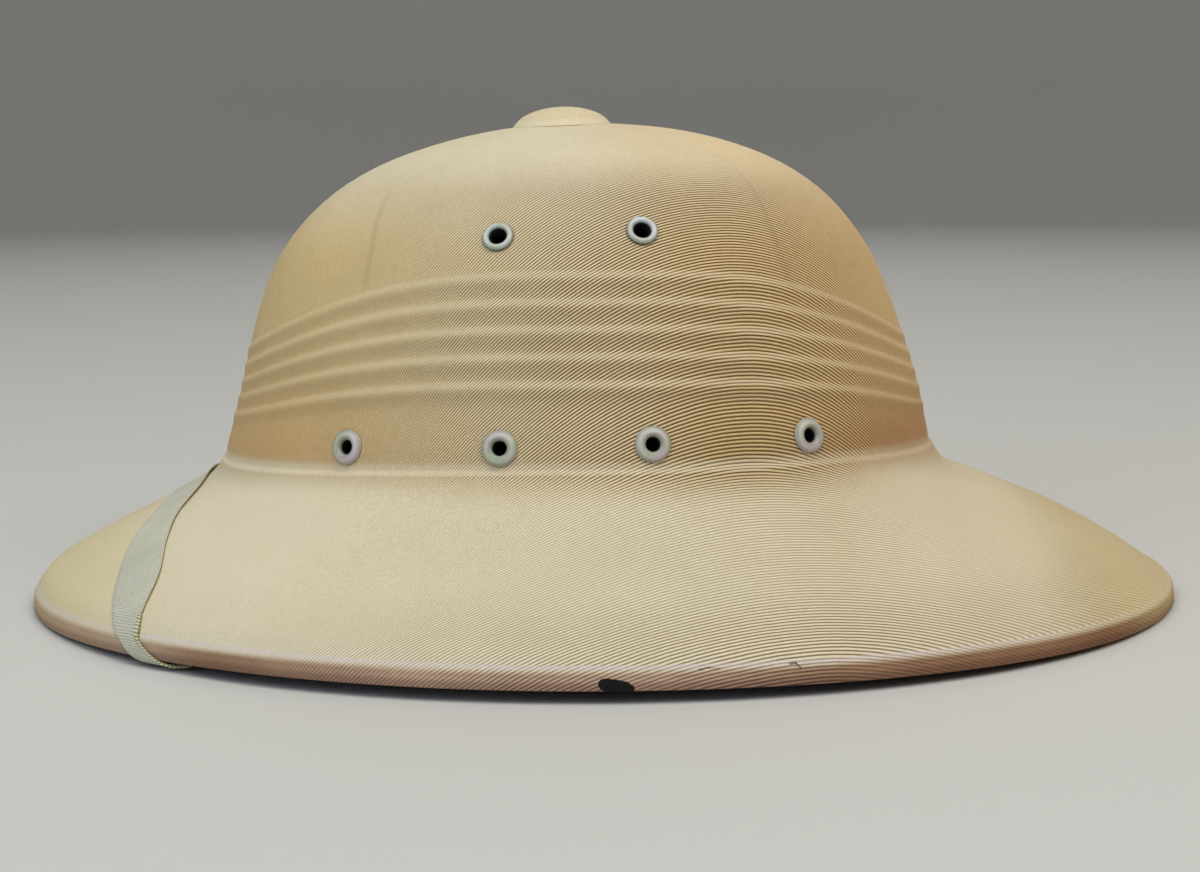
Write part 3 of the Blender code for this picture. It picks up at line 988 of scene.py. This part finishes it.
def inner_rows(angle, outward):
    """Rows of the inner face, from the rim up to the crown's top."""
    flat = 0 * angle
    rim, foot, top = INNER_PLACES
    rows = [(rim_face(angle, RIM_INSIDE) - outward * WALL, rim + flat, flat)]
    for reach in INNER_BRIM_ROWS:
        normal = normal_of(brim_point, angle, reach, SURFACE_STEP)
        rows.append((brim_point(angle, reach) - WALL * normal, foot - reach + flat, flat))
    for i in range(1, INNER_DOME_STEPS):
        share = 1 - i / INNER_DOME_STEPS
        normal = normal_of(dome_point, angle, share, SURFACE_STEP)
        rows.append((dome_point(angle, share) - WALL * normal, top - share + flat, flat))
    rows.append((crown_point(angle, CROWN_TOP + flat) - (0, 0, WALL), top + flat, flat))
    return rows


def cloth_map(rows, places, angle):
    """Where each point lies on the flat cloth, in metres from the crown's top."""
    front, side, back = (lengths_along(rows[:, SEGMENTS // 4 * i]) for i in (0, 1, 2))
    ends = at_front(angle[None], front[:, None], back[:, None])
    to_back = np.maximum(-cosine(angle) - BACK_FROM, 0)[None] / (1 - BACK_FROM)
    askew = np.clip(places - 1, 0, 1) * to_back**2
    at_top, less = CLOTH_ALONG
    along = -ends * cosine(angle)[None] * (at_top - less * np.clip(places, 0, 2))
    down = side[:, None] * sine(angle)[None]
    along, down = along * (1 + BACK_ALONG * askew), down * (1 + BACK_DOWN * askew)
    return np.stack([along, down], -1) * MM


def make_shell():
    angle = np.linspace(0, 360, SEGMENTS + 1)
    rows, outward = outer_rows(angle)
    rows += lip_rows(angle, outward)
    outer_count = len(rows)
    rows += inner_rows(angle, outward)
    points, places, tones = (np.array(values) for values in zip(*rows))
    turns = np.broadcast_to(angle / 360, places.shape)
    maps = {
        "cloth": cloth_map(points, places, angle),
        "place": np.stack([turns, places], -1),
        "rib": np.stack([tones, tones], -1),
    }
    slots = [0] * outer_count + [1] * (len(rows) - outer_count)
    shell = wrap_grid("helmet_shell", points, maps, slots)
    close_up(shell)
    drill_shell(shell)
    shade(shell, shell_twill("khaki twill"), pressed_fibre("pressed fibre"), angle=60)
    hand_over(shell, "shell_cloth", "shell")


# ---------------------------------------------------------------- eyelets and button

# Columns: name, kind, angle, height.
EYELETS = (
    ("top_front", "top", 75.0, 108.6),
    ("top_back", "top", 102.2, 109.9),
    ("low_front", "low", 52.8, 52.3),
    ("low_mid_front", "low", 78.2, 53.9),
    ("low_mid_back", "low", 100.8, 54.7),
    ("low_back", "low", 127.2, 54.5),
)
SIDES = {"left": 1, "right": -1}
EYELET_HOLES = {"top": 2.3, "low": 1.95}
EYELET_SIDES = 48
TUBE_WALL = 0.6
TUBE_BACK = -(WALL + 2.5 * GAP)
# The end that is spread inside: how far each ring is out of the tube, and past its back.
TUBE_END = ((0, 0), (1.3, 0), (1.2, 0.3), (0.2, 0.55), (-TUBE_WALL, 0.6))

# Radius and height of each ring, from inside the tube over the crest to the flange and back.
EYELET_RINGS = {
    "top": (
        (2.35, -0.9), (2.37, -0.2), (2.43, 0.3), (2.60, 0.72), (2.90, 1.02), (3.27, 1.18),
        (3.62, 1.12), (3.97, 0.88), (4.22, 0.55), (4.35, 0.25), (4.28, 0.03), (3.9, 0.0),
    ),
    "low": (
        (1.95, -0.9), (1.96, -0.3), (2.02, 0.3), (2.16, 0.75), (2.42, 1.1), (2.8, 1.28),
        (3.2, 1.27), (3.7, 1.1), (4.2, 0.86), (4.6, 0.6), (4.83, 0.35), (4.9, 0.15),
        (4.8, 0.02), (4.5, 0.0),
    ),
}  # fmt: skip

BUTTON_X = -11.4
BUTTON_SIDES = 96
BUTTON_HOLE = 2.8
BUTTON_LOWER = 0.009  # how much lower the cap is for each millimetre to the back
CROWN_BOW = (312, 242)  # the crown falls by x² / 312 + y² / 242 round the button
BUTTON_RINGS = (
    (0.01, 4.85), (1.6, 4.84), (3.4, 4.76), (5.4, 4.55), (7.6, 4.14), (9.8, 3.52), (11.6, 2.80),
    (12.8, 2.00), (13.7, 1.18), (14.25, 0.55), (14.55, 0.1), (14.55, -0.06), (14.2, -0.15),
    (13.5, -0.15), (12.0, 0.0), (6.0, 0.2), (2.5, 0.2), (2.5, -3.6), (5.0, -3.6), (4.9, -4.4),
    (4.0, -4.6), (0.01, -4.6),
)  # fmt: skip


def eyelet_seat(angle, height):
    point = crown_point(angle, height)
    normal = normal_of(lambda a, z: crown_point(a, -z), angle, -height, 1.0)
    return point, normal


def button_seat():
    reach = CROWN_CENTRE - BUTTON_X
    flat = CROWN[-2][1] ** 2 / (CROWN_TOP - CROWN[-2][0])
    point = np.array((BUTTON_X, 0, CROWN_TOP - reach**2 / flat))
    return point, np.array((-reach * 2 / flat, 0, 1))


def drill_shell(shell):
    """Cuts the eyelets' holes and the button's through the wall."""
    seats = [(*button_seat(), BUTTON_HOLE)]
    for _, kind, angle, height in EYELETS:
        radius = EYELET_HOLES[kind] + TUBE_WALL + GAP / 2
        seats += [(*eyelet_seat(way * angle, height), radius) for way in SIDES.values()]
    drills = []
    for point, normal, radius in seats:
        deselect()
        bpy.ops.mesh.primitive_cylinder_add(vertices=32, radius=radius * MM, depth=5 * WALL * MM)
        drills.append(stand_on(bpy.context.object, point, normal))
    pick(*drills)
    bpy.ops.object.join()
    cutter = bpy.context.object
    pick(shell)
    cut = shell.modifiers.new("Holes", "BOOLEAN")
    cut.operation = "DIFFERENCE"
    cut.object = cutter
    cut.solver = "EXACT"
    apply_modifiers(shell)
    bpy.data.objects.remove(cutter)


def make_eyelet(kind, paint):
    """One eyelet at the origin: rolled head, tube, and the end that is spread inside."""
    tube = EYELET_HOLES[kind] + TUBE_WALL
    end = [(tube + out, TUBE_BACK - past) for out, past in TUBE_END]
    rings = [*EYELET_RINGS[kind], (tube, 0.1), *end]
    eyelet = turned(f"eyelet_{kind}", [*rings, rings[0]], EYELET_SIDES)
    close_up(eyelet, 2e-6)
    map_points(eyelet, "ring", lambda spot: (math.hypot(spot.x, spot.y), spot.z))
    return shade(eyelet, paint, angle=50)


def make_eyelets():
    # The upper eyelets' paint is whiter, as a painted highlight.
    lit_white, mauve, green = (0.66, 0.68, 0.72), (0.55, 0.49, 0.48), (0.48, 0.52, 0.40)
    upper = eyelet_paint("upper eyelet paint with painted highlight", lit_white, green, 0.0033, 0.0007)
    lower = eyelet_paint("lower eyelet paint", mauve, green, 0.0036, 0.0003)
    models = {"top": make_eyelet("top", upper), "low": make_eyelet("low", lower)}
    for name, kind, angle, height in EYELETS:
        for side, way in SIDES.items():
            eyelet = models[kind].copy()
            eyelet.data = models[kind].data.copy()
            eyelet.name = f"eyelet_{name}_{side}_round"
            bpy.context.scene.collection.objects.link(eyelet)
            stand_on(eyelet, *eyelet_seat(way * angle, height))
            hand_over(eyelet, "eyelet_paint", f"eyelet_{name}_{side}")
    for model in models.values():
        bpy.data.objects.remove(model)


def make_button():
    """The covered button, with the cloth's map laid over its cap."""
    button = turned("covered_button", BUTTON_RINGS, BUTTON_SIDES)
    close_up(button, 5e-5)
    for spot in button.data.vertices:
        x, y, z = spot.co / MM
        if z > -1:
            fall = x**2 / CROWN_BOW[0] + y**2 / CROWN_BOW[1]
            spot.co.z = (z * (1 - x * BUTTON_LOWER) - fall) * MM
    map_points(button, "cloth", lambda spot: (spot.x, -spot.y))
    stand_on(button, *button_seat())
    shade(button, button_twill("button twill"), angle=50)
    hand_over(button, "button_cloth", "top_button")


# ---------------------------------------------------------------- chin strap

STRAP_THICK = 0.5
STRAP_OVER = 0.15 + STRAP_THICK / 2
STRAP_INSIDE = -(WALL + 2 * GAP + 0.6)
STRAP_WALL_STEP = 10.0
SKIN_STEP = 0.05
# Columns: angle and reach of the near edge, angle and reach of the far edge, off.
STRAP = (
    (0.0, 0.08, 0.0, 0.29, STRAP_OVER),
    (12.0, 0.13, 10.0, 0.35, STRAP_OVER),
    (21.5, 0.30, 18.5, 0.47, STRAP_OVER),
    (30.0, 0.465, 25.5, 0.61, STRAP_OVER),
    (38.3, 0.68, 32.4, 0.77, STRAP_OVER),
    (42.2, 0.875, 36.5, 0.885, STRAP_OVER),
    (43.7, 0.955, 39.3, 0.96, STRAP_OVER),
    (44.9, 1.06, 41.6, 1.08, STRAP_OVER + 0.1),
    (47.6, 1.92, 43.9, 1.90, STRAP_OVER + 0.2),
    (49.5, 2.26, 45.8, 2.26, -WALL / 2),
    (51.3, 2.00, 47.3, 2.00, STRAP_INSIDE - 0.4),
    (54.5, 0.85, 48.8, 0.77, STRAP_INSIDE),
    (59.5, 0.55, 54.5, 0.42, STRAP_INSIDE),
    (64.5, 0.30, 60.0, 0.16, STRAP_INSIDE - 0.4),
    (68.0, 0.08, 64.0, -0.15, STRAP_INSIDE - 1.0),
    (71.0, -0.25, 66.5, -1.25, STRAP_INSIDE - 0.4),
    (73.8, -0.45, 69.5, -1.60, STRAP_INSIDE),
)
STRAP_STEPS = 20
STRAP_ACROSS = 12
STRAP_WIDTH = 12.7
TAPE_RIBS = 900.0  # for each metre

FOLD_ROWS = (5.3, 9.4)  # the stations between which the tape's edge is folded
FOLD_STEP = 0.16
FOLD_IN = 0.55  # from the tape's edge to the fold's middle
FOLD_TAPER = 2.0
FOLD_TIP = 0.10
FOLD_RADIUS = 0.62
FOLD_RIB = 0.14
FOLD_SIDES = 16
FOLD_CENTRE = 20  # height of a point that lies inboard of both folds


def skin_point(angle, reach):
    """Point on the shell's plain outer face, from the wall (under 0) to the rim (over 1)."""
    if reach < 0:
        return crown_point(angle, brim_height(angle, 0) - reach * STRAP_WALL_STEP)
    if reach <= 1:
        return brim_point(angle, reach)
    return rim_face(angle, reach - 1)


def strap_station(row, way):
    near_angle, near_reach, far_angle, far_reach, off = row
    station = []
    for t in np.linspace(0, 1, STRAP_ACROSS + 1):
        angle = way * (near_angle + (far_angle - near_angle) * t)
        reach = near_reach + (far_reach - near_reach) * t
        normal = normal_of(skin_point, angle, reach, SKIN_STEP)
        station.append(skin_point(angle, reach) + off * normal)
    return np.array(station)


def smooth_run(stations, steps):
    """A smooth run of stations through the given ones."""
    run = []
    for i in range(len(stations) - 1):
        start, end = stations[i], stations[i + 1]
        before = stations[max(i - 1, 0)]
        after = stations[min(i + 2, len(stations) - 1)]
        for t in np.arange(steps) / steps:
            leave = (end - before) / 2 * t * (1 - t) ** 2
            arrive = (after - start) / 2 * t * t * (t - 1)
            run.append(start + (end - start) * smooth_step(t) + leave + arrive)
    return np.array([*run, stations[-1]])


def make_strap():
    """Tape from tack to tack: up inside, round the rim and over the front of the brim."""
    right = [strap_station(row, -1) for row in reversed(STRAP)]
    left = [strap_station(row, 1) for row in STRAP[1:]]
    run = smooth_run(np.array(right + left), STRAP_STEPS)
    middle = len(run) // 2
    length = lengths_along(run[:, STRAP_ACROSS // 2])
    length -= length[middle]
    across = np.linspace(-0.5, 0.5, STRAP_ACROSS + 1) * STRAP_WIDTH
    tape = np.stack(np.meshgrid(length, across, indexing="ij"), -1) * MM
    strap = wrap_grid("tape_strap", run, {"tape": tape})
    edit_all(strap)
    bpy.ops.mesh.flip_normals()
    bpy.ops.object.mode_set(mode="OBJECT")
    strap.data.materials.append(woven_tape("woven tape"))
    strap.data.materials.append(tape_edge("tape edge"))
    wall = strap.modifiers.new("Tape", "SOLIDIFY")
    wall.thickness = STRAP_THICK * MM
    wall.offset = 0
    wall.material_offset_rim = 1
    edge = strap.modifiers.new("Edge", "BEVEL")
    edge.width = 0.00015
    edge.segments = 2
    edge.limit_method = "ANGLE"
    edge.angle_limit = math.radians(50)
    apply_modifiers(strap)
    pick(strap)
    bpy.ops.object.shade_smooth_by_angle(angle=math.radians(50))
    hand_over(strap, "strap_tape", "chin_strap")

    folded = tape_fold("tape fold")
    for side, way in SIDES.items():
        first, last = sorted(middle + way * round(row * STRAP_STEPS) for row in FOLD_ROWS)
        path = run[first : last + 1]
        make_fold(f"tape_fold_{side}", path[:, 0], path[:, 2], length[first], folded)


def make_fold(name, path, inboard, start, material):
    """A ribbed roll along the tape's near edge, where the edge is folded under."""
    steps = lengths_along(path)
    along = np.arange(0, steps[-1], FOLD_STEP)
    centre, inward = (
        np.stack([np.interp(along, steps, line[:, i]) for i in range(3)], -1)
        for line in (path, inboard - path)
    )
    inward = unit(inward)
    normal = np.cross(inward, unit(np.gradient(centre, axis=0)))
    if normal[0] @ (centre[0] - (0, 0, FOLD_CENTRE)) < 0:
        normal = -normal
    ends = smooth_step(along / FOLD_TAPER) * smooth_step((along[-1] - along) / FOLD_TAPER)
    along = along + start
    ribs = 0.5 + 0.5 * np.sin(2 * np.pi * TAPE_RIBS * MM * along)
    radius = (FOLD_TIP + ends * (FOLD_RADIUS + FOLD_RIB * ribs))[:, None, None]
    share = np.linspace(0, 1, FOLD_SIDES + 1)
    turn = 2 * np.pi * share[None, :, None]
    ring = normal[:, None] * np.sin(turn) + inward[:, None] * np.cos(turn)
    centre += inward * FOLD_IN
    points = centre[:, None] + ring * radius
    points[0], points[-1] = centre[0], centre[-1]
    tape = np.stack(np.meshgrid(along * MM, share, indexing="ij"), -1)
    fold = wrap_grid(name, points, {"tape": tape})
    close_up(fold)
    shade(fold, material)
    hand_over(fold, "strap_tape")


def dress_tacks():
    brass = dull_brass("dull brass")
    for side in SIDES:
        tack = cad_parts[f"strap_tack_{side}"]
        for slot in tack.material_slots:
            slot.material = brass


# ---------------------------------------------------------------- studio

# In metres and degrees.
FLOOR_RADIUS = 2.6
FLOOR_BEND = 1.0
FLOOR_TURN = 7.5  # from one ring of the bend to the next
WALL_HEIGHT = 2.5

# Area lamps. Columns: name, place, watts, colour.
LAMPS = (
    ("key", (-0.95, -1.13, 1.82), 14, (0.96, 1.0, 0.995)),
    ("fill", (0.95, -1.13, 1.82), 21, (1.0, 0.99, 0.95)),
    ("top", (0.0, -0.40, 2.32), 12.7, (1.0, 0.985, 0.82)),
    ("low", (-1.39, -1.66, 0.85), 10, (0.61, 0.75, 1.0)),
    ("warm", (2.01, -0.54, 1.03), 3, (1.0, 0.45, 0.25)),
    ("back", (0.0, 1.63, 1.69), 8, (1.0, 1.0, 1.0)),
)
LAMP_SIZE = 1.3
LAMP_AIM = (0, 0, 0.06)
SKY = (0.9, 0.95, 1.0)
SKY_STRENGTH = 0.02

CAMERA_PLACE = (-0.0008, -0.650, 0.1364)
CAMERA_LENS = 65.055
CAMERA_SENSOR = 36
CAMERA_DOWN = 7.99
CAMERA_ROLL = -0.444


def make_floor():
    """A pale round floor that curves up into a plain wall on all sides."""
    deselect()
    bpy.ops.mesh.primitive_circle_add(vertices=96, radius=FLOOR_RADIUS, fill_type="NGON")
    floor = name_piece("floor")
    edit_all(floor)
    bpy.ops.mesh.region_to_loop()
    reach = FLOOR_RADIUS
    for turn in np.arange(FLOOR_TURN, 90 + FLOOR_TURN, FLOOR_TURN):
        next_reach = FLOOR_RADIUS + FLOOR_BEND * sine(turn)
        rise = FLOOR_BEND * (cosine(turn - FLOOR_TURN) - cosine(turn))
        extrude_ring(rise, next_reach / reach)
        reach = next_reach
    extrude_ring(WALL_HEIGHT, 1)
    bpy.ops.mesh.select_all(action="SELECT")
    bpy.ops.mesh.normals_make_consistent(inside=True)
    bpy.ops.object.mode_set(mode="OBJECT")
    shade(floor, pale_floor("pale floor"), angle=40)


def light_studio():
    for name, place, watts, colour in LAMPS:
        bpy.ops.object.light_add(type="AREA", location=place)
        lamp = bpy.context.object
        lamp.name = name
        lamp.data.size = LAMP_SIZE
        lamp.data.energy = watts
        lamp.data.color = colour
        away = Vector(LAMP_AIM) - Vector(place)
        lamp.rotation_euler = away.to_track_quat("-Z", "Y").to_euler()
    world = bpy.data.worlds.new("studio")
    bpy.context.scene.world = world
    world.use_nodes = True
    sky = world.node_tree.nodes["Background"]
    sky.inputs["Color"].default_value = (*SKY, 1)
    sky.inputs["Strength"].default_value = SKY_STRENGTH
    bpy.context.scene.view_settings.view_transform = "Standard"


def set_camera():
    data = bpy.data.cameras.new("camera")
    data.lens = CAMERA_LENS
    data.sensor_width = CAMERA_SENSOR
    camera = bpy.data.objects.new("camera", data)
    bpy.context.scene.collection.objects.link(camera)
    tilt = Matrix.Rotation(math.radians(90 - CAMERA_DOWN), 4, "X")
    roll = Matrix.Rotation(math.radians(CAMERA_ROLL), 4, "Z")
    camera.matrix_world = Matrix.Translation(CAMERA_PLACE) @ tilt @ roll
    bpy.context.scene.camera = camera


set_camera()
make_floor()
light_studio()
make_shell()
make_eyelets()
make_button()
make_strap()
dress_tacks()
